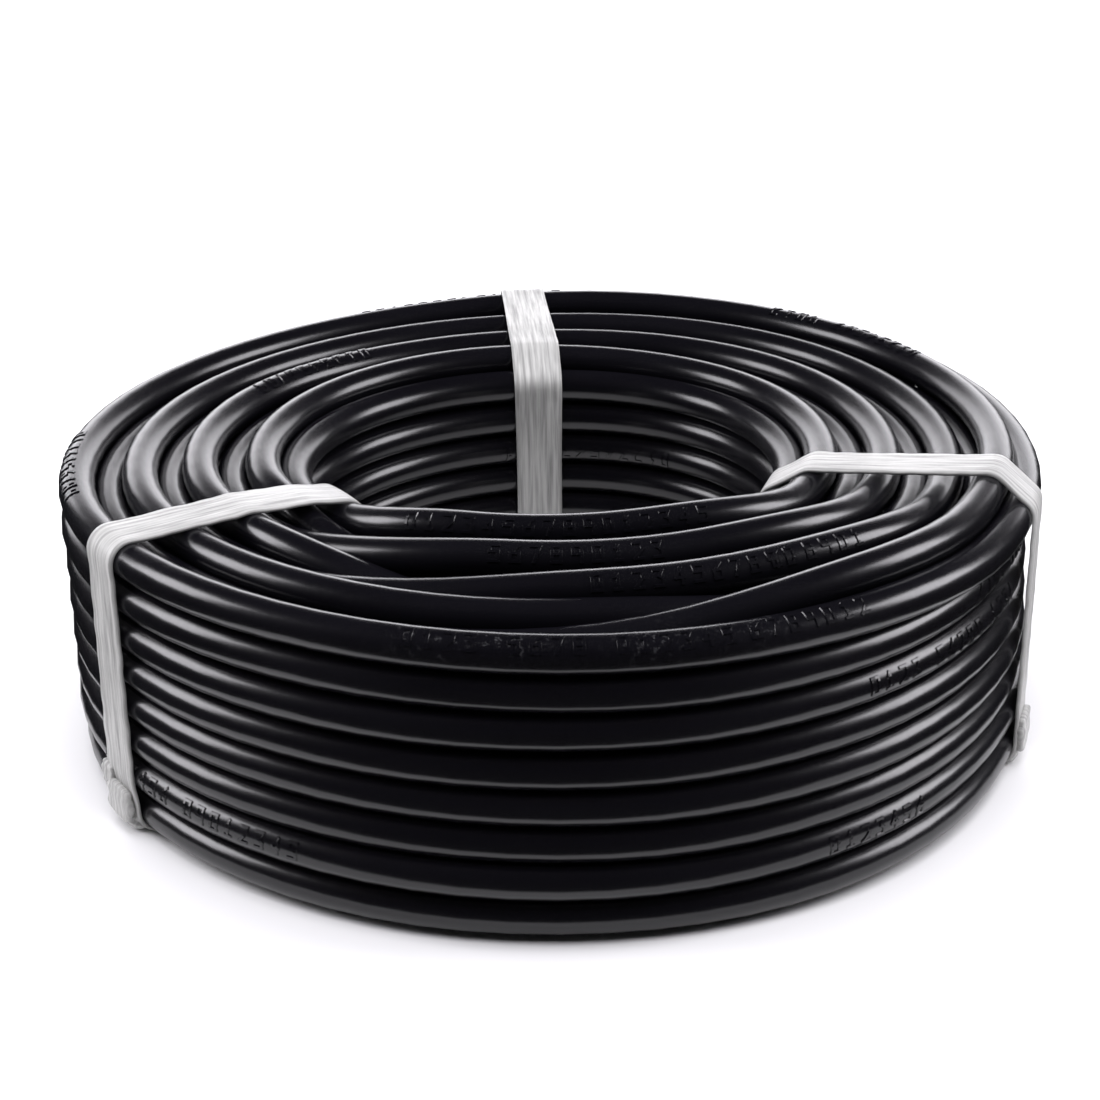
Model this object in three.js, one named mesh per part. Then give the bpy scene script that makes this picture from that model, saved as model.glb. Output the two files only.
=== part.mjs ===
// A flexible power cable wound into a flat coil and held by three plastic straps.
// Millimetres, +Z up. The coil's axis is the Z axis and the coil lies on the plane z = 0,
// standing on the three straps where they pass underneath it.

import * as THREE from 'three';

// Cable and winding
const cable_diameter = 7.2;
const bore_diameter = 99.4;
const layer_count = 8;
const turns_in_tall_layer = 8;
const layer_step = 6.2;
const turn_step = 7.5;

// Straps
const strap_width = 10.5;
const strap_thickness = 0.7;
const strap_overlap_length = 13;
const strap_overlap_height = 6.5;
const strap_azimuths = { strap_left: 214, strap_right: 342, strap_rear: 95 };

// Clearance between pieces that touch
const touch_gap = 0.3;

// Facets of the modelled surfaces
const ring_segments = 36;
const arc_step_degrees = 40;
const groove_angle_degrees = 30;
const corner_segments = 5;

const cable_radius = cable_diameter / 2;
const inner_turn_radius = bore_diameter / 2 + cable_radius;
const coil_base = strap_thickness + touch_gap;
const to_radians = Math.PI / 180;

const cable_material = new THREE.MeshStandardMaterial({ color: 0x17171a, roughness: 0.42, metalness: 0 });
const strap_material = new THREE.MeshStandardMaterial({ color: 0xe4e3df, roughness: 0.45, metalness: 0 });

// Layers are counted from the bore outwards. Odd layers are tall, and each even layer has one
// turn less and lies half a step higher, in the grooves of its neighbours.
function turnsInLayer(layer) {
  return layer % 2 === 1 ? turns_in_tall_layer : turns_in_tall_layer - 1;
}

function turnCentre(layer, turn) {
  const lift = layer % 2 === 1 ? 0 : turn_step / 2;
  const z = coil_base + cable_radius + lift + turn * turn_step;
  return new THREE.Vector2(inner_turn_radius + layer * layer_step, z);
}

// The turns that show on the coil's skin, anticlockwise in the (radius, z) plane: outer wall up,
// top inwards, bore wall down, underside outwards.
function skinTurns() {
  const last = layer_count - 1;
  const skin = [];
  for (let turn = 0; turn < turnsInLayer(last); turn += 1) skin.push(turnCentre(last, turn));
  for (let layer = last - 1; layer > 0; layer -= 1) skin.push(turnCentre(layer, turnsInLayer(layer) - 1));
  for (let turn = turnsInLayer(0) - 1; turn >= 0; turn -= 1) skin.push(turnCentre(0, turn));
  for (let layer = 1; layer < last; layer += 1) skin.push(turnCentre(layer, 0));
  return skin;
}

// Each skin turn adds one arc of facets that touch its circle. The arc runs from the groove
// shared with the turn before to the groove shared with the turn after. Facet corners stand a
// little proud of the circles, so at the end the profile is set back to the coil's base.
function skinProfile() {
  const skin = skinTurns();
  const profile = [];
  skin.forEach((centre, index) => {
    const before = skin[(index + skin.length - 1) % skin.length];
    const after = skin[(index + 1) % skin.length];
    const groove = groove_angle_degrees * to_radians;
    const start = Math.atan2(before.y - centre.y, before.x - centre.x) + groove;
    let end = Math.atan2(after.y - centre.y, after.x - centre.x) - groove;
    while (end < start) end += 2 * Math.PI;
    const facets = Math.max(1, Math.round((end - start) / (arc_step_degrees * to_radians)));
    const facet_angle = (end - start) / facets;
    const reach = cable_radius / Math.cos(facet_angle / 2);
    for (let i = 0; i <= facets; i += 1) {
      const angle = start + i * facet_angle;
      const x = centre.x + reach * Math.cos(angle);
      const z = centre.y + reach * Math.sin(angle);
      profile.push(new THREE.Vector2(x, z));
    }
  });
  const sink = Math.min(...profile.map((p) => p.y)) - coil_base;
  return profile.map((p) => new THREE.Vector2(p.x, p.y - sink));
}

// The coil is one turned ring whose skin shows the turns. LatheGeometry turns its profile
// about Y, so the ring is stood on Z afterwards.
function makeCoil(profile) {
  const closed = [...profile, profile[0].clone()];
  const geometry = new THREE.LatheGeometry(closed, ring_segments);
  geometry.rotateX(Math.PI / 2);
  const coil = new THREE.Mesh(geometry, cable_material);
  coil.name = 'cable_coil';
  return coil;
}

// Radial and vertical limits of a strap's band, inside and outside.
function strapLimits(profile) {
  const outer_radius = Math.max(...profile.map((p) => p.x));
  const inner_radius = Math.min(...profile.map((p) => p.x)) * Math.cos(Math.PI / ring_segments);
  const top = Math.max(...profile.map((p) => p.y));
  const bottom = Math.min(...profile.map((p) => p.y));
  const bore_bow = inner_radius - Math.sqrt(inner_radius ** 2 - (strap_width / 2) ** 2);
  return {
    left: inner_radius - bore_bow - touch_gap,
    right: outer_radius + touch_gap,
    bottom: bottom - touch_gap,
    top: top + touch_gap,
  };
}

// A rounded rectangle in the (radius, z) plane. A strap's outer outline also steps out by one
// thickness along its welded overlap.
function bandOutline(path, box, radius, overlap_step) {
  const quarter = Math.PI / 2;
  const lower = box.bottom + strap_overlap_height;
  const upper = lower + strap_overlap_length;
  path.moveTo(box.left + radius, box.bottom);
  path.lineTo(box.right - radius, box.bottom);
  path.absarc(box.right - radius, box.bottom + radius, radius, -quarter, 0);
  if (overlap_step > 0) {
    path.lineTo(box.right, lower);
    path.lineTo(box.right + overlap_step, lower + overlap_step);
    path.lineTo(box.right + overlap_step, upper - overlap_step);
    path.lineTo(box.right, upper);
  }
  path.lineTo(box.right, box.top - radius);
  path.absarc(box.right - radius, box.top - radius, radius, 0, quarter);
  path.lineTo(box.left + radius, box.top);
  path.absarc(box.left + radius, box.top - radius, radius, quarter, 2 * quarter);
  path.lineTo(box.left, box.bottom + radius);
  path.absarc(box.left + radius, box.bottom + radius, radius, 2 * quarter, 3 * quarter);
  return path;
}

// A strap is one flat band round the coil's section, extruded by the strap's width.
function makeStrap(name, azimuth, inside) {
  const outside = {
    left: inside.left - strap_thickness,
    right: inside.right + strap_thickness,
    bottom: inside.bottom - strap_thickness,
    top: inside.top + strap_thickness,
  };
  const shape = bandOutline(new THREE.Shape(), outside, cable_radius + strap_thickness, strap_thickness);
  shape.holes.push(bandOutline(new THREE.Path(), inside, cable_radius, 0));
  const settings = { depth: strap_width, bevelEnabled: false, curveSegments: corner_segments };
  const geometry = new THREE.ExtrudeGeometry(shape, settings);
  geometry.translate(0, 0, -strap_width / 2);
  geometry.rotateX(Math.PI / 2);
  const strap = new THREE.Mesh(geometry, strap_material);
  strap.name = name;
  strap.rotation.z = azimuth * to_radians;
  return strap;
}

const profile = skinProfile();
const inside = strapLimits(profile);
const group = new THREE.Group();
group.add(makeCoil(profile));
for (const [name, azimuth] of Object.entries(strap_azimuths)) {
  group.add(makeStrap(name, azimuth, inside));
}

export default group;
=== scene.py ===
# %% [markdown]
# # A coil of flexible power cable
# The object is one long black cable, wound into a flat coil that lies on the floor, with three
# plastic straps tied round it. The turned ring and the plain bands of the construction model fix
# the sizes. Here the ring is replaced by the real winding and the bands by straps that lie on it.

# %% Frame
import bpy
import numpy as np
from mathutils import Matrix, Vector


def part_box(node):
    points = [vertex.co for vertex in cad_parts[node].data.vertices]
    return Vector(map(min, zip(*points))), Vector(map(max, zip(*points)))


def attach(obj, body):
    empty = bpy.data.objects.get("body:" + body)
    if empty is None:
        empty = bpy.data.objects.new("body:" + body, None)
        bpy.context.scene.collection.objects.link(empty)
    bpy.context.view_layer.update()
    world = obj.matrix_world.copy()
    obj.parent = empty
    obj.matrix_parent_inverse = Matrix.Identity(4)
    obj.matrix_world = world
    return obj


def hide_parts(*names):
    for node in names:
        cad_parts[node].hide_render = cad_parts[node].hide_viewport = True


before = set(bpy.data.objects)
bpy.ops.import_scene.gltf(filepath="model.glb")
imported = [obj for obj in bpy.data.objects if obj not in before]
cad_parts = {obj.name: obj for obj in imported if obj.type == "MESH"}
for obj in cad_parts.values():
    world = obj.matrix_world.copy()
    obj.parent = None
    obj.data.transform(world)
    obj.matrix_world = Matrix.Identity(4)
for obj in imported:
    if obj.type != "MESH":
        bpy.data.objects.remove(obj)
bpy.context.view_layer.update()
coil_low, coil_high = (np.array(corner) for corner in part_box("cable_coil"))
print("coil box", coil_low.round(4), coil_high.round(4))

# %% [markdown]
# ## Sizes
# Everything follows from the cable's diameter, because the photograph shows the coil as so many
# cable diameters wide and high. The strap sizes are the construction model's own.

# %% Driving sizes in metres
CABLE = 0.0072
STRAP_WIDTH = 0.0105
STRAP_THICKNESS = 0.0007
TOUCH_GAP = 0.0003
COIL_BASE = STRAP_THICKNESS + TOUCH_GAP
STRAP_AZIMUTHS = {"strap_left": 214.0, "strap_right": 342.0, "strap_rear": 95.0}
print("coil is", round((coil_high[0] - coil_low[0]) / CABLE, 1), "cable diameters across")

# %% [markdown]
# ## Camera
# The camera starts from a fit of the coil's outline, and its last values were set against
# the photograph. It stands close, about half a metre away, so the front turns look larger than the
# rear ones. It is placed by distance, elevation and two small turns, and its axes are written
# straight into the object's matrix.

# %% Camera
CAMERA_DISTANCE = 67.2 * CABLE
CAMERA_ELEVATION = np.radians(23.3)
CAMERA_PAN = np.radians(0.2)
CAMERA_ROLL = np.radians(-0.4)
CAMERA_TARGET_HEIGHT = 4.66 * CABLE
LENS_IN_FRAME_WIDTHS = 2.084


def add_camera():
    """Place the camera on a sphere about the target, pan about Z, then roll about the view axis."""
    cos_e, sin_e = np.cos(CAMERA_ELEVATION), np.sin(CAMERA_ELEVATION)
    place = Vector((0, -CAMERA_DISTANCE * cos_e, CAMERA_TARGET_HEIGHT + CAMERA_DISTANCE * sin_e))
    forward = Matrix.Rotation(CAMERA_PAN, 3, "Z") @ Vector((0, cos_e, -sin_e))
    right = forward.cross(Vector((0, 0, 1))).normalized()
    up = right.cross(forward)
    roll = Matrix.Rotation(-CAMERA_ROLL, 3, forward)
    axes = Matrix((roll @ right, roll @ up, -forward)).transposed()
    data = bpy.data.cameras.new("camera")
    data.sensor_width = 36
    data.lens = LENS_IN_FRAME_WIDTHS * data.sensor_width
    camera = bpy.data.objects.new("camera", data)
    camera.matrix_world = Matrix.Translation(place) @ axes.to_4x4()
    bpy.context.scene.collection.objects.link(camera)
    bpy.context.scene.camera = camera
    return camera


camera = add_camera()
print("camera at", [round(v, 3) for v in camera.matrix_world.translation])

# %% [markdown]
# ## Winding
# A machine winds such a coil in layers. Each layer is a helix whose turns lie level for most of
# the way round and climb or drop by one turn in a short stretch, the crossover. Counted from 0 at
# the bore, odd layers are tall, and even layers have one turn less and lie in their grooves. The
# winding is a table of sites, one for each turn, and a loop walks through it: up one layer, out,
# down the next, out, up again.

# %% Winding table
LAYERS = 8
TALL_TURNS = 8
START_AZIMUTH = -20.0
STATIONS = 72


def winding_sites():
    """List the turns in winding order as (layer, right level, left level), counted down from the top."""
    sites = []
    for layer in range(LAYERS - 1):
        if layer % 2 == 0:
            levels = -0.5 - np.arange(TALL_TURNS - 1)[::-1]
        else:
            levels = -np.arange(TALL_TURNS, dtype=float)
        sites += [(layer, level, level) for level in levels]
    last = LAYERS - 1
    sites.append((last, 0.0, 0.0))
    sites += [(last, -float(n), -float(n + 1)) for n in range(TALL_TURNS - 1)]
    sites.append((last, 1.0 - TALL_TURNS, 1.0 - TALL_TURNS))
    return np.array(sites)


sites = winding_sites()
print(len(sites) - 1, "turns and a tail in", LAYERS, "layers")

# %% [markdown]
# In a crossover the turns of two layers pass over each other, so there the layers stand 0.91 of a
# diameter apart instead of 0.86. The crossovers of the top turns lie at the front and the outer
# layer's steps at the back. Each layer has a window of azimuth in which its turns change level
# and, for the topmost ones, a second window in which they move out a layer. At the foot the odd
# layers move out between two neighbouring stations, which is abrupt and out of sight.

# %% Where the turns would like to lie
PITCH = 1.02
LAYER_STEP = 0.86
BORE_TURN_RADIUS = 7.15
CROSSOVER_SPREAD = 0.05
CROSSOVER_CENTRE_LAYER = 4.0
INNER_SHIFT = 0.25
OUTER_SHIFT = 0.0
FRONT_WINDOW = (205.0, 262.0, 285.0, 345.0)
BACK_WINDOW = (60.0, 130.0)
LEVEL_WINDOWS = np.array([[205, 250], [203, 245], [214, 262], [222, 270],
                          [225, 275], [272, 325], [258, 305], [230, 320]])
LAYER_WINDOWS = np.array([[276, 332], [0, 1], [284, 335], [0, 1],
                          [288, 338], [0, 1], [284, 330], [0, 1]])


def smooth_step(x, low, high):
    """Rise from 0 to 1 between low and high as 3t^2 - 2t^3, where t is the share of the way."""
    t = np.clip((x - low) / (high - low), 0, 1)
    return t * t * (3 - 2 * t)


def layer_radius(layer, azimuth):
    """Radius in diameters: a step per layer, spread out in the crossover and shifted sideways in the bore."""
    a, b, c, d = FRONT_WINDOW
    crossing = smooth_step(azimuth, a, b) * (1 - smooth_step(azimuth, c, d))
    share = layer / (LAYERS - 1)
    shift = INNER_SHIFT + (OUTER_SHIFT - INNER_SHIFT) * share
    radius = BORE_TURN_RADIUS + LAYER_STEP * layer - shift * np.cos(np.radians(azimuth))
    return radius + CROSSOVER_SPREAD * crossing * (layer - CROSSOVER_CENTRE_LAYER)


# %% Out of round
OVAL = 0.022
THREE_LOBED = -0.012
LEAN = -0.05
TILT = -0.015
HUMP = 0.25
MIDDLE_HEIGHT = 4.3
OUTER_TURN_RADIUS = 13.5


def out_of_round(azimuth, height):
    """Share added to the radius: an oval along the diagonal, three soft lobes, a lean with height."""
    angle = np.radians(azimuth)
    oval = OVAL * np.sin(2 * angle) + THREE_LOBED * np.cos(3 * angle)
    return oval + LEAN * (height - MIDDLE_HEIGHT) * np.cos(angle) / OUTER_TURN_RADIUS


def wanted_path(sites, azimuth):
    """Give each turn's (radius, height) at each azimuth before the turns have pushed each other aside."""
    layer, right, left = (column[:, None] for column in sites.T)
    following = np.append(sites[1:], sites[-1:], axis=0)
    next_layer, next_right = following[:, 0, None], following[:, 1, None]
    own = layer[:, 0].astype(int)
    rise = smooth_step(azimuth[None], LEVEL_WINDOWS[own, 0][:, None], LEVEL_WINDOWS[own, 1][:, None])
    out = smooth_step(azimuth[None], LAYER_WINDOWS[own, 0][:, None], LAYER_WINDOWS[own, 1][:, None])
    back = smooth_step(azimuth[None], *BACK_WINDOW)
    changes_layer = next_layer != layer
    shift = np.where(changes_layer, out, 0) * (next_layer - layer)
    level = right + back * (left - right) + rise * (next_right - left)
    hump = np.where(changes_layer & (own[:, None] % 2 == 0), 4 * out * (1 - out), 0)
    radius = layer_radius(layer + shift, azimuth[None])
    pitch = PITCH + TILT * np.cos(np.radians(azimuth))[None]
    height = COIL_BASE / CABLE + 0.5 + (TALL_TURNS - 1 + level) * pitch + HUMP * hump
    radius = radius * (1 + out_of_round(azimuth[None], height))
    return np.stack([radius, height], axis=-1)


# %% Small irregularities
WANDER = 0.035
WANDER_SEED = 7
SECOND_WAVE = 0.7


def hand_wound(turns, azimuth):
    """A little wander in radius and height: two slow waves along each turn with phases of its own."""
    phase = np.random.default_rng(WANDER_SEED).uniform(0, 2 * np.pi, (turns, 1, 4))
    angle = np.radians(azimuth)[None, :, None]
    waves = np.sin(2 * angle + phase[..., :2]) + SECOND_WAVE * np.sin(3 * angle + phase[..., 2:])
    return WANDER * waves


azimuth = START_AZIMUTH + 360.0 * np.arange(STATIONS) / STATIONS
wanted = wanted_path(sites, azimuth) + hand_wound(len(sites), azimuth)
print("wanted path", wanted.shape)

# %% [markdown]
# The turns are then relaxed like discs in a box. In each slice of azimuth two turns that overlap
# push each other apart, every turn is drawn gently back to its wanted place, and its path is
# smoothed along its length. After some hundred rounds small natural irregularities remain, and
# some turns are still pressed into each other: the print gives the closest two of a slice.

# %% Relaxing the winding
RELAX_ROUNDS = 260
PULL = 0.03
SMOOTHING = 0.35
PUSH = 0.55
FIRM_SHARE = 0.75
SETTLING_PULL = 0.2
FAR_APART = 2
LEAST_DISTANCE = 0.05
START_STATION = 6
TAIL_STATIONS = 9


def relax(wanted, floor):
    """Push the turns of a slice apart, round by round, towards distances of one diameter or more."""
    path = wanted.copy()
    count, stations, _ = path.shape
    present = np.ones((count, stations), dtype=bool)
    present[0, :START_STATION] = False
    present[-1, TAIL_STATIONS:] = False
    both = present[:, None] & present[None]
    for round_number in range(RELAX_ROUNDS):
        pull = PULL if round_number < RELAX_ROUNDS * FIRM_SHARE else PULL * SETTLING_PULL
        offset = (path - wanted).reshape(-1, 2)
        middle = 0.5 * (offset[:-2] + offset[2:])
        offset[1:-1] += SMOOTHING * (middle - offset[1:-1])
        path = wanted + (offset * (1 - pull)).reshape(path.shape)
        gap = path[:, None] - path[None]
        distance = np.sqrt((gap ** 2).sum(-1))
        distance[np.arange(count), np.arange(count)] = FAR_APART
        distance = np.where(both, distance, FAR_APART)
        overlap = np.clip(1.0 - distance, 0, None) / np.maximum(distance, LEAST_DISTANCE)
        path = path + PUSH * 0.5 * (gap * overlap[..., None]).sum(1)
        path[..., 1] = np.maximum(path[..., 1], floor)
    return path, distance


path, distance = relax(wanted, COIL_BASE / CABLE + 0.5)
print("closest turns of a slice", round(float(distance.min()), 3), "of a diameter")

# %% [markdown]
# ## Cable
# The cable is a round tube carried along the winding. Each ring stands square to the path, with
# its first point towards the outside of the coil and a quarter of the way round upwards, so the
# tube has no twist. Its ends are closed with a flat cap, as a cut cable's are.

# %% Path in metres
RING_POINTS = 20


def cable_path(path, azimuth):
    """Turn (radius, height) at each azimuth into one list of points in metres, without the spare ends."""
    angle = np.radians(azimuth)
    radius, height = path[..., 0] * CABLE, path[..., 1] * CABLE
    points = np.stack([radius * np.cos(angle), radius * np.sin(angle), height], axis=-1)
    flat = points.reshape(-1, 3)
    return flat[START_STATION:len(flat) - STATIONS + TAIL_STATIONS]


def unit(vectors):
    """Scale each vector to length one."""
    return vectors / np.linalg.norm(vectors, axis=-1, keepdims=True)


def path_frames(points):
    """Tangent, outward and upward unit vectors: outward is the radial direction made square to the path."""
    tangent = unit(np.gradient(points, axis=0))
    radial = points * np.array([1.0, 1.0, 0.0])
    outward = unit(radial - (radial * tangent).sum(-1, keepdims=True) * tangent)
    return tangent, outward, np.cross(outward, tangent)


route = cable_path(path, azimuth)
tangent, outward, upward = path_frames(route)
steps = np.linalg.norm(np.diff(route, axis=0), axis=1)


# %% Cable mesh
def grid_faces(rows, columns):
    """Quads of a grid that is open along its rows and closes on itself across its columns."""
    i, j = np.meshgrid(np.arange(rows - 1), np.arange(columns), indexing="ij")
    k = (j + 1) % columns
    near, far = i * columns, (i + 1) * columns
    quads = np.stack([near + j, far + j, far + k, near + k], axis=-1)
    return quads.reshape(-1, 4)


def mesh_from_arrays(name, points, faces, smooth=True):
    """Make a mesh object from arrays of points and faces, linked to the scene at the origin."""
    mesh = bpy.data.meshes.new(name)
    mesh.from_pydata(points.tolist(), [], [list(face) for face in faces])
    mesh.polygons.foreach_set("use_smooth", np.full(len(mesh.polygons), smooth))
    mesh.update()
    piece = bpy.data.objects.new(name, mesh)
    bpy.context.scene.collection.objects.link(piece)
    return piece


def tube(name, route, outward, upward, radius, count):
    """Sweep a circle: point = centre + radius (cos a * outward + sin a * upward), with a cap at each end."""
    angle = 2 * np.pi * np.arange(count) / count
    circle = np.cos(angle)[None, :, None] * outward[:, None] + np.sin(angle)[None, :, None] * upward[:, None]
    points = (route[:, None] + radius * circle).reshape(-1, 3)
    quads = grid_faces(len(route), count)
    last = (len(route) - 1) * count
    caps = [list(range(count)), list(range(last, last + count))[::-1]]
    return mesh_from_arrays(name, points, quads.tolist() + caps)


cable = tube("cable_winding", route, outward, upward, CABLE / 2, RING_POINTS)
print("cable mesh", len(cable.data.polygons) * 2, "triangles")

# %% [markdown]
# ## Straps
# Each strap is a thin tape of polypropylene pulled tight round the coil's section and welded to
# itself at the lower outer corner. A taut tape follows the convex hull of the turns that it
# crosses. The hull is found without any search: in each direction the tape touches the turn that
# reaches furthest that way. Between two high turns the tape sags a little, more at its edges.

# %% Taut outline of a strap
HULL_DIRECTIONS = 720
STRAP_ROWS = 300
CROSSED_SHARE = 0.55
SKIN_GAP = 0.00005


def strap_axes(azimuth):
    """Radial and tangential unit vectors of a strap's plane."""
    angle = np.radians(azimuth)
    return np.array([np.cos(angle), np.sin(angle), 0]), np.array([-np.sin(angle), np.cos(angle), 0])


def taut_outline(azimuth):
    """Hull of the crossed turns: point = centre of the furthest turn + (radius + gap) * direction."""
    radial, tangential = strap_axes(azimuth)
    across = route @ tangential
    crossed = route[(np.abs(across) < STRAP_WIDTH * CROSSED_SHARE) & (route @ radial > 0)]
    centres = np.stack([crossed @ radial, crossed[:, 2]], axis=-1)
    angle = np.linspace(-0.5 * np.pi, 1.5 * np.pi, HULL_DIRECTIONS, endpoint=False)
    direction = np.stack([np.cos(angle), np.sin(angle)], axis=-1)
    furthest = (centres @ direction.T).argmax(axis=0)
    hull = centres[furthest] + (CABLE / 2 + SKIN_GAP) * direction
    hull[:, 1] = np.where(hull[:, 1] < COIL_BASE, STRAP_THICKNESS, hull[:, 1])
    return resample(hull, STRAP_ROWS)


def resample(points, count):
    """Spread a closed outline's points evenly along its length."""
    closed = np.append(points, points[:1], axis=0)
    length = np.append(0, np.cumsum(np.linalg.norm(np.diff(closed, axis=0), axis=1)))
    even = np.linspace(0, length[-1], count, endpoint=False)
    return np.stack([np.interp(even, length, closed[:, axis]) for axis in (0, 1)], axis=-1)


def outline_normals(outline):
    """Outward normals of an outline that runs anticlockwise: the tangent turned by a quarter, smoothed."""
    tangent = np.roll(outline, -1, axis=0) - np.roll(outline, 1, axis=0)
    normal = unit(np.stack([tangent[:, 1], -tangent[:, 0]], axis=-1))
    return unit(normal + np.roll(normal, 1, axis=0) + np.roll(normal, -1, axis=0))


def waviness(phase, along, across):
    """A sum of three slow waves along and across a strap, between -1 and 1."""
    waves = np.sin(9.1 * along + 1.9 * across + phase) + np.sin(23.7 * along - 2.3 * across + 2.1 * phase)
    return (waves + np.sin(41.3 * along + 3.7 * across + 0.7 * phase)) / 3


# %% Strap mesh
STRAP_COLUMNS = 11
SAG = 0.00018
SAG_REACH = 0.0012
SAG_SHARE = 0.3
EDGE_CURL = 0.00014
FLAT_BELOW = 0.0012


def ring_faces(rows, columns):
    """Quads of a grid that closes on itself both ways."""
    i, j = np.meshgrid(np.arange(rows), np.arange(columns), indexing="ij")
    n, k = (i + 1) % rows, (j + 1) % columns
    near, far = i * columns, n * columns
    return np.stack([near + j, near + k, far + k, far + j], axis=-1).reshape(-1, 4)


def outline_sag(outline, azimuth):
    """How far the tape stands off the nearest crossed turn, capped, which is where it can sag."""
    radial, tangential = strap_axes(azimuth)
    crossed = route[(np.abs(route @ tangential) < STRAP_WIDTH * SAG_SHARE) & (route @ radial > 0)]
    centres = np.stack([crossed @ radial, crossed[:, 2]], axis=-1)
    distance = np.linalg.norm(outline[:, None] - centres[None], axis=-1).min(axis=1) - CABLE / 2
    return np.clip(distance / SAG_REACH, 0, 1)


def strap_surface(azimuth, phase):
    """Points on the tape's two faces: outline + normal * (thickness - drop) + tangential * share of width."""
    outline = taut_outline(azimuth)
    normal = outline_normals(outline)
    radial, tangential = strap_axes(azimuth)
    share = np.linspace(-1, 1, STRAP_COLUMNS)[None]
    along = np.linspace(0, 2 * np.pi, len(outline), endpoint=False)[:, None]
    sag = SAG * outline_sag(outline, azimuth)[:, None] * (0.35 + 0.65 * share ** 2)
    drop = sag + EDGE_CURL * share ** 2 * (0.4 + 0.6 * waviness(phase, along, share))
    drop = np.where(outline[:, None, 1] < FLAT_BELOW, 0, drop)
    lift = np.stack([STRAP_THICKNESS - drop, -drop], axis=-1)
    plane = outline[:, None, None] + normal[:, None, None] * lift[..., None]
    width = share * STRAP_WIDTH / 2 * (1 + 0.03 * np.sin(3 * along + phase))
    place = plane[..., :1] * radial + plane[..., 1:] * np.array([0, 0, 1.0])
    place = place + width[..., None, None] * tangential
    return np.concatenate([place[:, :, 0], place[:, ::-1, 1]], axis=1)


# %% [markdown]
# At the joint the two ends are folded over each other, heated and squeezed, which leaves a thick
# crumpled pad at the lower outer corner. A pad is a rounded box whose surface is creased by waves,
# given by its centre and three half sizes in the strap's own plane.

# %% Welded ends
WELDS = {
    "strap_left": [
        ((0.15, 0.85), (0.0010, 0.0050, 0.0036), 0.0),
        ((-0.28, 0.27), (0.0023, 0.0048, 0.0016), -0.0004),
        ((0.06, 1.35), (0.0012, 0.0024, 0.0026), -0.0052),
    ],
    "strap_right": [
        ((0.15, 0.95), (0.0010, 0.0051, 0.0040), 0.0),
        ((-0.26, 0.29), (0.0024, 0.0050, 0.0018), 0.0003),
    ],
    "strap_rear": [
        ((0.15, 0.95), (0.0010, 0.0050, 0.0042), 0.0),
        ((-0.28, 0.28), (0.0023, 0.0050, 0.0017), 0.0),
    ],
}
WELD_RINGS = 22
WELD_POINTS = 32
PAD_POWER = 0.6
CREASE = 0.09
PAD_BASE = 0.0001


def weld_pad(azimuth, wall, spot, half_sizes, aside, phase):
    """Rounded box: each coordinate = half size * sign(c) |c|^0.6 of a unit sphere's, plus crease waves."""
    radial, tangential = strap_axes(azimuth)
    polar = np.pi * (np.arange(1, WELD_RINGS) / WELD_RINGS)[:, None]
    around = 2 * np.pi * (np.arange(WELD_POINTS) / WELD_POINTS)[None]
    ball = np.stack([np.sin(polar) * np.cos(around), np.sin(polar) * np.sin(around),
                     np.cos(polar) * np.ones_like(around)], axis=-1)
    poles = np.array([[0, 0, 1.0], [0, 0, -1.0]])
    ball = np.concatenate([poles[:1], ball.reshape(-1, 3), poles[1:]])
    up = np.array([0, 0, 1.0])
    crease = 1 + CREASE * np.sin(9 * ball[:, 2] + 2 * ball[:, 1] + phase) * (1 - ball[:, 2] ** 2)
    box = np.sign(ball) * np.abs(ball) ** PAD_POWER * crease[:, None] * np.array(half_sizes)
    centre = (wall + spot[0] * CABLE) * radial + spot[1] * CABLE * up + aside * tangential
    points = centre + box[:, :1] * radial + box[:, 1:2] * tangential + box[:, 2:] * up
    points[:, 2] = np.maximum(points[:, 2], PAD_BASE)
    return points


def ball_faces():
    """Faces of a ball: a fan at each pole and quads between the rings."""
    quads = grid_faces(WELD_RINGS - 1, WELD_POINTS) + 1
    first = np.arange(WELD_POINTS)
    following = (first + 1) % WELD_POINTS
    last = 1 + (WELD_RINGS - 2) * WELD_POINTS
    top = np.stack([0 * first, first + 1, following + 1], axis=-1)
    bottom = np.stack([0 * first + last + WELD_POINTS, last + following, last + first], axis=-1)
    return quads.tolist() + top.tolist() + bottom.tolist()


# %% Strap objects
def strap_parts(name, azimuth, phase):
    """Gather one strap's closed shells, the tape first and then its welded pads, as points and faces."""
    tape = strap_surface(azimuth, phase)
    shells = [tape.reshape(-1, 3)]
    faces = ring_faces(*tape.shape[:2]).tolist()
    radial, _ = strap_axes(azimuth)
    foot = shells[0][shells[0][:, 2] < 1.5 * CABLE]
    wall = float((foot @ radial).max()) - STRAP_THICKNESS
    for number, (spot, half_sizes, aside) in enumerate(WELDS[name]):
        start = sum(len(shell) for shell in shells)
        faces += [[index + start for index in face] for face in ball_faces()]
        shells.append(weld_pad(azimuth, wall, spot, half_sizes, aside, phase + number))
    return np.concatenate(shells), faces, tape.shape


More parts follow.
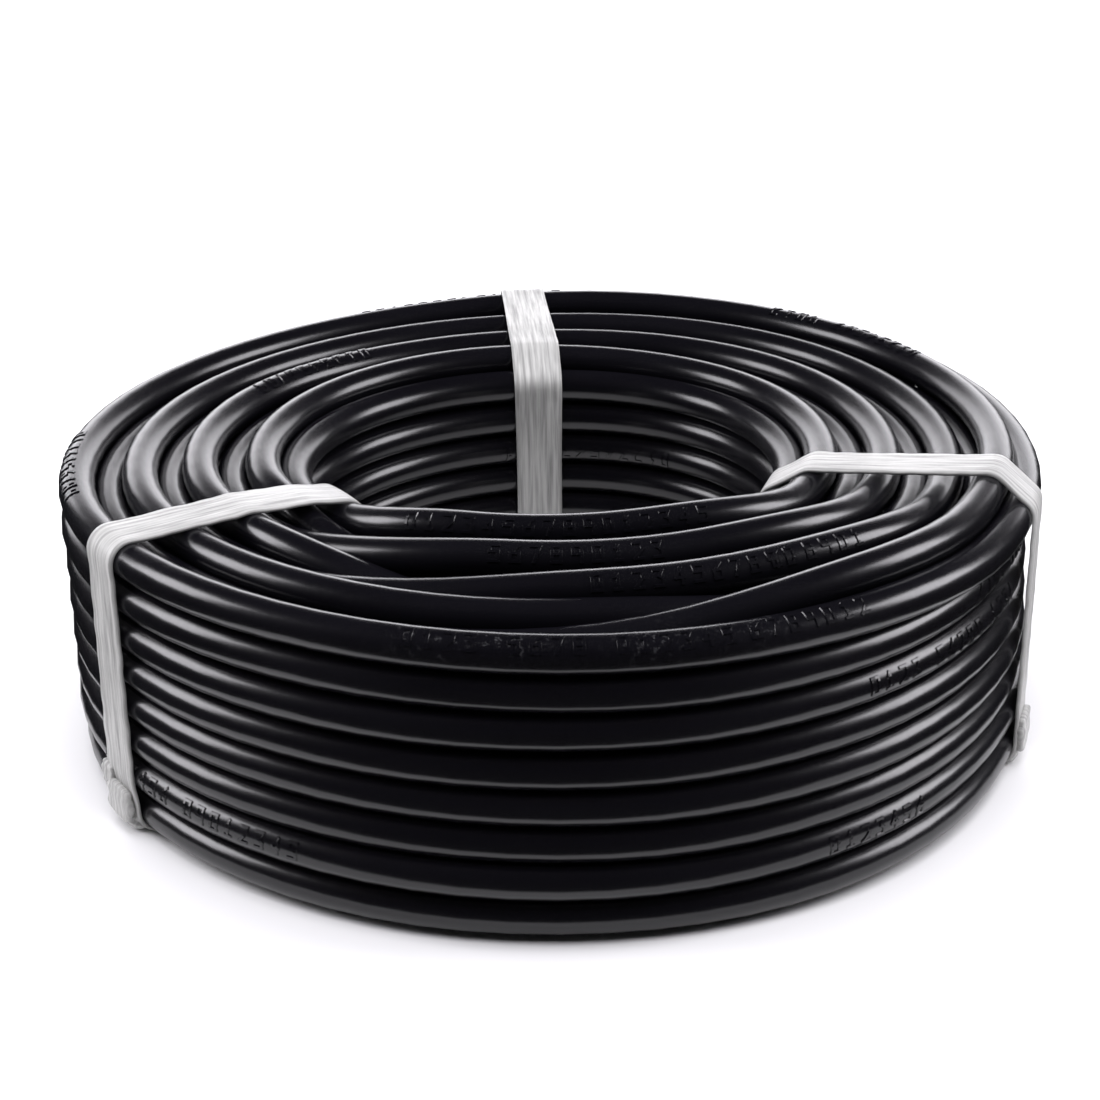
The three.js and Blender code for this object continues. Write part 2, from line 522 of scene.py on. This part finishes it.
def add_tape_map(strap, points, azimuth, shape):
    """Give each point a pair (along, across) in metres: along the tape's length, and along z on the pads."""
    _, tangential = strap_axes(azimuth)
    rows, columns = shape[:2]
    tape = points[:rows * columns].reshape(rows, columns, 3)
    middle = tape[:, STRAP_COLUMNS // 2]
    along = np.append(0, np.cumsum(np.linalg.norm(np.diff(middle, axis=0), axis=1)))
    length = np.concatenate([np.repeat(along, columns), points[rows * columns:, 2]])
    pair = np.stack([length, points @ tangential], axis=-1)
    corner = np.empty(len(strap.data.loops), dtype=np.int32)
    strap.data.loops.foreach_get("vertex_index", corner)
    layer = strap.data.uv_layers.new(name="tape")
    layer.data.foreach_set("uv", pair[corner].astype(np.float32).ravel())


def add_strap(name, azimuth, phase):
    """Make one strap as a closed band with its welded ends, which stands for its plain construction solid."""
    points, faces, shape = strap_parts(name, azimuth, phase)
    strap = mesh_from_arrays(name + "_tape", points, faces)
    add_tape_map(strap, points, azimuth, shape)
    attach(strap, "root")
    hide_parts(name)
    return strap


STRAP_PHASE = 1.7
straps = []
for name, strap_azimuth in STRAP_AZIMUTHS.items():
    straps.append(add_strap(name, strap_azimuth, STRAP_PHASE * len(straps)))
print("straps", [len(strap.data.polygons) for strap in straps])

# %% [markdown]
# ## Raised marks
# The sheath carries lines of plain figures in running order, about 3 mm tall, that stand proud of
# it. Each figure is drawn with a few strokes on a grid two units wide and four tall, and a stroke
# is a low bar with bevelled sides that follows the sheath.

# %% Figures and their strokes
FIGURES = {
    "0": [(0, 0, 2, 0), (2, 0, 2, 4), (2, 4, 0, 4), (0, 4, 0, 0)],
    "1": [(0.3, 3, 1, 4), (1, 4, 1, 0), (0.2, 0, 1.8, 0)],
    "2": [(0, 4, 2, 4), (2, 4, 2, 2.2), (2, 2.2, 0, 0), (0, 0, 2, 0)],
    "3": [(0, 4, 2, 4), (2, 4, 1, 2.3), (1, 2.3, 2, 1.6), (2, 1.6, 2, 0), (2, 0, 0, 0)],
    "4": [(1.6, 0, 1.6, 4), (1.6, 4, 0, 1.4), (0, 1.4, 2, 1.4)],
    "5": [(2, 4, 0, 4), (0, 4, 0, 2.3), (0, 2.3, 2, 2.3), (2, 2.3, 2, 0), (2, 0, 0, 0)],
    "6": [(2, 4, 0, 2), (0, 2, 0, 0), (0, 0, 2, 0), (2, 0, 2, 2), (2, 2, 0, 2)],
    "7": [(0, 4, 2, 4), (2, 4, 0.7, 0)],
    "8": [(0, 0, 2, 0), (2, 0, 2, 4), (2, 4, 0, 4), (0, 4, 0, 0), (0, 2, 2, 2)],
    "9": [(2, 0, 2, 4), (2, 4, 0, 4), (0, 4, 0, 2), (0, 2, 2, 2)],
}
FIGURE_UNIT = 0.00074
FIGURE_ADVANCE = 0.0036
STROKE_WIDTH = 0.00046
STROKE_BEVEL = 0.00016
STROKE_HEIGHT = 0.00020
STROKE_ROWS = 5
STROKE_FOOT = -0.00012


def stroke_points(start, end):
    """One stroke in the unrolled sheath: rows along it, four points across, each (along, round, height)."""
    start, end = np.array(start), np.array(end)
    direction = (end - start) / np.linalg.norm(end - start)
    aside = np.array([-direction[1], direction[0]])
    share = np.append(np.append(0, np.linspace(0, 1, STROKE_ROWS)), 1)[:, None]
    reach = np.array([-1.0] + [0.0] * STROKE_ROWS + [1.0])[:, None] * STROKE_BEVEL
    half = STROKE_WIDTH / 2
    tips = np.sign(share - 0.5) * half * (np.abs(share - 0.5) > 0.49)
    line = start + (end - start) * share + direction * (reach + tips)
    across = np.array([-half - STROKE_BEVEL, -half, half, half + STROKE_BEVEL])
    flat = line[:, None] + across[None, :, None] * aside
    height = np.full((STROKE_ROWS + 2, 4), STROKE_FOOT)
    height[1:-1, 1:3] = STROKE_HEIGHT
    return np.concatenate([flat, height[..., None]], axis=-1)


def figure_run(text, advance):
    """Strokes of a run of figures, laid one after another along the sheath."""
    runs = []
    for place, figure in enumerate(text):
        for x0, y0, x1, y1 in FIGURES.get(figure, []):
            shift = place * advance
            start = (shift + (x0 - 1) * FIGURE_UNIT, (y0 - 2) * FIGURE_UNIT)
            end = (shift + (x1 - 1) * FIGURE_UNIT, (y1 - 2) * FIGURE_UNIT)
            runs.append(stroke_points(start, end))
    return np.array(runs)


# %% [markdown]
# A run is placed by the turn that carries it: the azimuth where it starts, the radius and height of
# that turn in cable diameters, and the angle round the sheath that its line follows, counted up
# from straight outwards. The nearest point of the route is looked up, so a run always sits on a turn.

# %% Placing the runs
MARK_RUNS = [
    ((243, 8.0, 7.9, 40), "0123456789012345"), ((262, 9.6, 7.9, 40), "567890123"),
    ((276, 10.3, 8.0, 42), "01234567890"), ((300, 11.0, 8.2, 45), "678901"),
    ((253, 13.3, 8.1, 52), "0123 5678 012345"), ((288, 13.2, 8.1, 55), "6789012"),
    ((208, 13.2, 1.7, 15), "0123456 89012345"), ((303, 13.3, 5.7, 12), "0123 56789 1234"),
    ((301, 13.3, 1.7, 8), "0123456"), ((326, 13.4, 6.8, 15), "678901234"),
    ((179, 13.4, 7.6, 60), "0123456789"), ((30, 12.6, 8.2, 100), "01234567 9012"),
    ((60, 7.4, 5.6, 180), "012345678901"), ((110, 7.4, 3.6, 180), "0123456789"),
    ((128, 9.0, 8.0, 110), "0123456789"), ((88, 13.3, 7.9, 40), "01234567890123"),
    ((20, 13.3, 3.7, 10), "012345678901234"), ((110, 13.3, 2.7, 10), "012345678901234"),
    ((150, 13.3, 4.8, 10), "01234567890"), ((216, 7.6, 4.6, 180), "01234567"),
]


def run_on_sheath(place, text):
    """Map a run to the cable: point = route(s) + (radius + height) (cos a * outward + sin a * upward)."""
    start_azimuth, radius, height, angle = place
    angle_start = np.radians(start_azimuth)
    target = CABLE * np.array([radius * np.cos(angle_start), radius * np.sin(angle_start), height])
    station = int(np.linalg.norm(route - target, axis=1).argmin())
    along = np.append(0, np.cumsum(steps))
    strokes = figure_run(text, FIGURE_ADVANCE)
    s = along[station] + strokes[..., 0]
    turned = np.radians(angle) + strokes[..., 1] / (CABLE / 2)
    centre, out, up = (np.stack([np.interp(s, along, axes[:, k]) for k in range(3)], axis=-1)
                       for axes in (route, outward, upward))
    reach = (CABLE / 2 + strokes[..., 2])[..., None]
    return centre + reach * (np.cos(turned)[..., None] * unit(out) + np.sin(turned)[..., None] * unit(up))


def add_marks():
    """Make all runs one mesh of closed low bars that ride on the cable."""
    bars = np.concatenate([run_on_sheath(place, text) for place, text in MARK_RUNS])
    count, rows, columns = bars.shape[:3]
    sides = grid_faces(rows, columns)
    last = (rows - 1) * columns
    caps = np.array([[0, 1, 2, 3], [last + 3, last + 2, last + 1, last]])
    one = np.concatenate([sides, caps])
    faces = one[None] + (np.arange(count) * rows * columns)[:, None, None]
    return mesh_from_arrays("raised_figures", bars.reshape(-1, 3), faces.reshape(-1, 4), smooth=False)


marks = add_marks()
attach(marks, "root")
print("raised figures", len(marks.data.polygons), "faces")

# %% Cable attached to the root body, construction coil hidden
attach(cable, "root")
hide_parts("cable_coil")

# %% [markdown]
# ## Finishes
# The sheath is deep black soft PVC with a satin gloss. It has a very fine unevenness from the
# extruder, faint streaks along its length and a few pale scuffs. The straps are milky white film:
# fine lengthwise streaks make it clearer in some lines and denser in others, and a little of what
# lies behind shows through. Both use one node group that turns a position into streaks and grain.

# %% Wear on the sheath
SCUFFS = [(258, 13.6, 8.4, 0.0035, 0.5), (266, 13.6, 8.4, 0.0030, 0.6), (279, 13.6, 8.4, 0.0035, 0.6),
          (291, 13.7, 8.4, 0.0022, 1.0), (196, 9.8, 8.9, 0.0030, 0.5), (35, 8.6, 8.6, 0.0030, 0.4)]


def add_wear(piece, points):
    """Store a wear value on each point: the sum of bell shapes about the scuffed places."""
    wear = np.zeros(len(points))
    for place_azimuth, radius, height, spread, strength in SCUFFS:
        angle = np.radians(place_azimuth)
        spot = CABLE * np.array([radius * np.cos(angle), radius * np.sin(angle), height])
        wear += strength * np.exp(-((points - spot) ** 2).sum(-1) / (2 * spread ** 2))
    layer = piece.data.attributes.new("wear", "FLOAT", "POINT")
    layer.data.foreach_set("value", np.clip(wear, 0, 1).astype(np.float32))


cable_points = np.empty(len(cable.data.vertices) * 3, dtype=np.float32)
cable.data.vertices.foreach_get("co", cable_points)
add_wear(cable, cable_points.reshape(-1, 3))


# %% Shared node group
def new_node(tree, kind, place, **values):
    """Add a node and set its sockets by name."""
    node = tree.nodes.new(kind)
    node.location = place
    for key, value in values.items():
        node.inputs[key.replace("_", " ")].default_value = value
    return node


def streak_group():
    """Group: coordinates in, two masks out, streaks from stretched noise and grain from fine noise."""
    group = bpy.data.node_groups.new("streaks_and_grain", "ShaderNodeTree")
    for name, kind in (("Vector", "NodeSocketVector"), ("Grain Scale", "NodeSocketFloat"),
                       ("Streak Scale", "NodeSocketFloat")):
        group.interface.new_socket(name=name, in_out="INPUT", socket_type=kind)
    for name in ("Streaks", "Grain"):
        group.interface.new_socket(name=name, in_out="OUTPUT", socket_type="NodeSocketFloat")
    given = group.nodes.new("NodeGroupInput")
    result = group.nodes.new("NodeGroupOutput")
    stretch = new_node(group, "ShaderNodeMapping", (200, 100), Scale=(0.05, 1.0, 1.0))
    streaks = new_node(group, "ShaderNodeTexNoise", (400, 100), Detail=3.0, Roughness=0.6)
    grain = new_node(group, "ShaderNodeTexNoise", (400, -200), Detail=2.0, Roughness=0.5)
    group.links.new(given.outputs["Vector"], stretch.inputs["Vector"])
    group.links.new(stretch.outputs["Vector"], streaks.inputs["Vector"])
    group.links.new(given.outputs["Streak Scale"], streaks.inputs["Scale"])
    group.links.new(given.outputs["Vector"], grain.inputs["Vector"])
    group.links.new(given.outputs["Grain Scale"], grain.inputs["Scale"])
    group.links.new(streaks.outputs["Fac"], result.inputs["Streaks"])
    group.links.new(grain.outputs["Fac"], result.inputs["Grain"])
    return group


def start_material(name, group, coordinates, grain_scale, streak_scale):
    """Make a material with its shader, its coordinates and the shared group in place."""
    material = bpy.data.materials.new(name)
    material.use_nodes = True
    tree = material.node_tree
    source = tree.nodes.new("ShaderNodeTexCoord")
    pattern = tree.nodes.new("ShaderNodeGroup")
    pattern.node_tree = group
    pattern.inputs["Grain Scale"].default_value = grain_scale
    pattern.inputs["Streak Scale"].default_value = streak_scale
    tree.links.new(source.outputs[coordinates], pattern.inputs["Vector"])
    return material, tree, tree.nodes["Principled BSDF"], pattern


def ramp(tree, source, low, high, first, second):
    """Map a mask from low..high to first..second, whether they are numbers or colours."""
    node = tree.nodes.new("ShaderNodeValToRGB")
    node.color_ramp.elements[0].position, node.color_ramp.elements[1].position = low, high
    colours = [value if isinstance(value, tuple) else (value, value, value, 1) for value in (first, second)]
    node.color_ramp.elements[0].color, node.color_ramp.elements[1].color = colours
    tree.links.new(source, node.inputs["Fac"])
    return node.outputs["Color"]


# %% Sheath material
# A Mix node that mixes colours keeps them in these sockets
MIX_A, MIX_B, MIX_RESULT = 6, 7, 2


def sheath_material(group):
    """Black satin PVC: dark base, roughness that varies with the grain, a fine bump, and pale scuffs."""
    material, tree, shader, pattern = start_material("black_sheath", group, "Object", 900.0, 60.0)
    worn = tree.nodes.new("ShaderNodeAttribute")
    worn.attribute_name = "wear"
    scratch = new_node(tree, "ShaderNodeTexNoise", (-600, -500), Scale=700.0, Detail=4.0, Roughness=0.7)
    coordinates = tree.nodes.new("ShaderNodeTexCoord")
    tree.links.new(coordinates.outputs["Object"], scratch.inputs["Vector"])
    rough_patches = ramp(tree, scratch.outputs["Fac"], 0.55, 0.70, 0.0, 1.0)
    scuff = tree.nodes.new("ShaderNodeMath")
    scuff.operation = "MULTIPLY"
    tree.links.new(worn.outputs["Fac"], scuff.inputs[0])
    tree.links.new(rough_patches, scuff.inputs[1])
    colour = tree.nodes.new("ShaderNodeMix")
    colour.data_type = "RGBA"
    tree.links.new(scuff.outputs[0], colour.inputs["Factor"])
    darker, lighter = (0.0024, 0.0022, 0.0034, 1), (0.0042, 0.0040, 0.0056, 1)
    tint = ramp(tree, pattern.outputs["Streaks"], 0.3, 0.7, darker, lighter)
    tree.links.new(tint, colour.inputs[MIX_A])
    colour.inputs[MIX_B].default_value = (0.10, 0.10, 0.105, 1)
    tree.links.new(colour.outputs[MIX_RESULT], shader.inputs["Base Color"])
    rough = ramp(tree, pattern.outputs["Grain"], 0.3, 0.7, 0.225, 0.255)
    tree.links.new(rough, shader.inputs["Roughness"])
    bump = new_node(tree, "ShaderNodeBump", (-200, -300), Strength=0.012, Distance=0.00006)
    tree.links.new(pattern.outputs["Grain"], bump.inputs["Height"])
    tree.links.new(bump.outputs["Normal"], shader.inputs["Normal"])
    return material


# %% Strap material
def film_material(group):
    """Milky film: streaks along the tape change its whiteness, its clearness and its relief."""
    material, tree, shader, pattern = start_material("milky_film", group, "UV", 1500.0, 1100.0)
    white = ramp(tree, pattern.outputs["Streaks"], 0.35, 0.65, (0.36, 0.36, 0.35, 1), (0.50, 0.50, 0.485, 1))
    tree.links.new(white, shader.inputs["Base Color"])
    dense = ramp(tree, pattern.outputs["Streaks"], 0.32, 0.60, 0.68, 0.97)
    tree.links.new(dense, shader.inputs["Alpha"])
    rough = ramp(tree, pattern.outputs["Grain"], 0.3, 0.7, 0.32, 0.5)
    tree.links.new(rough, shader.inputs["Roughness"])
    bump = new_node(tree, "ShaderNodeBump", (-200, -300), Strength=0.22, Distance=0.00015)
    tree.links.new(pattern.outputs["Streaks"], bump.inputs["Height"])
    tree.links.new(bump.outputs["Normal"], shader.inputs["Normal"])
    return material


patterns = streak_group()
sheath = sheath_material(patterns)
film = film_material(patterns)
cable.data.materials.append(sheath)
marks.data.materials.append(sheath)
for strap in straps:
    strap.data.materials.append(film)
print("materials", [material.name for material in bpy.data.materials])

# %% [markdown]
# ## Floor and light
# A plain white floor, a wide bright panel behind the coil and a panel on either side. A satin black
# surface shows little but what it mirrors, so the panels' places make the highlights. Only the floor
# next to the coil is seen by glossy rays, as on a narrow table, which keeps the turns' sides black.

# %% Stage
def add_panel(name, place, target, size, power, glossy=True):
    """Add a rectangular area light at a place, turned to face a target."""
    data = bpy.data.lights.new(name, "AREA")
    data.shape = "RECTANGLE"
    data.size, data.size_y = size
    data.energy = power
    data.color = (0.97, 0.955, 1.0)
    light = bpy.data.objects.new(name, data)
    light.location = place
    light.rotation_euler = (Vector(target) - Vector(place)).to_track_quat("-Z", "Y").to_euler()
    light.visible_glossy = glossy
    bpy.context.scene.collection.objects.link(light)
    return light


def floor_material():
    """Matt white."""
    material = bpy.data.materials.new("white_floor")
    material.use_nodes = True
    shader = material.node_tree.nodes["Principled BSDF"]
    shader.inputs["Base Color"].default_value = (0.85, 0.85, 0.85, 1)
    shader.inputs["Roughness"].default_value = 0.8
    return material


def add_floor(name, inner, outer, glossy):
    """A square ring of floor, or a whole square where inner is 0. Glossy rays may pass it unseen."""
    square = np.array([[-1, -1, 0], [1, -1, 0], [1, 1, 0], [-1, 1, 0]], dtype=float)
    points, faces = outer * square, [[0, 1, 2, 3]]
    if inner > 0:
        points = np.concatenate([points, inner * square])
        faces = [[k, (k + 1) % 4, (k + 1) % 4 + 4, k + 4] for k in range(4)]
    floor = mesh_from_arrays(name, points, faces, smooth=False)
    floor.data.materials.append(white_floor)
    floor.visible_glossy = glossy
    return floor


NEAR_FLOOR = 0.118
FAR_FLOOR = 2.0
white_floor = floor_material()
add_floor("floor_near", 0, NEAR_FLOOR, True)
add_floor("floor_far", NEAR_FLOOR, FAR_FLOOR, False)
add_panel("rear_panel", (0, 0.95, 0.24), (0, 0, 0.05), (1.9, 0.42), 8)
add_panel("left_panel", (-0.85, 0.02, 0.46), (0, 0, 0.03), (0.42, 0.42), 5.5)
add_panel("right_panel", (0.85, 0.05, 0.46), (0, 0, 0.03), (0.42, 0.42), 5.5)
add_panel("top_fill", (0, -0.1, 1.3), (0, 0, 0), (1.6, 1.6), 34, glossy=False)
world = bpy.data.worlds.new("studio")
world.use_nodes = True
world.node_tree.nodes["Background"].inputs["Color"].default_value = (0.015, 0.015, 0.015, 1)
bpy.context.scene.world = world
bpy.context.scene.view_settings.view_transform = "Standard"
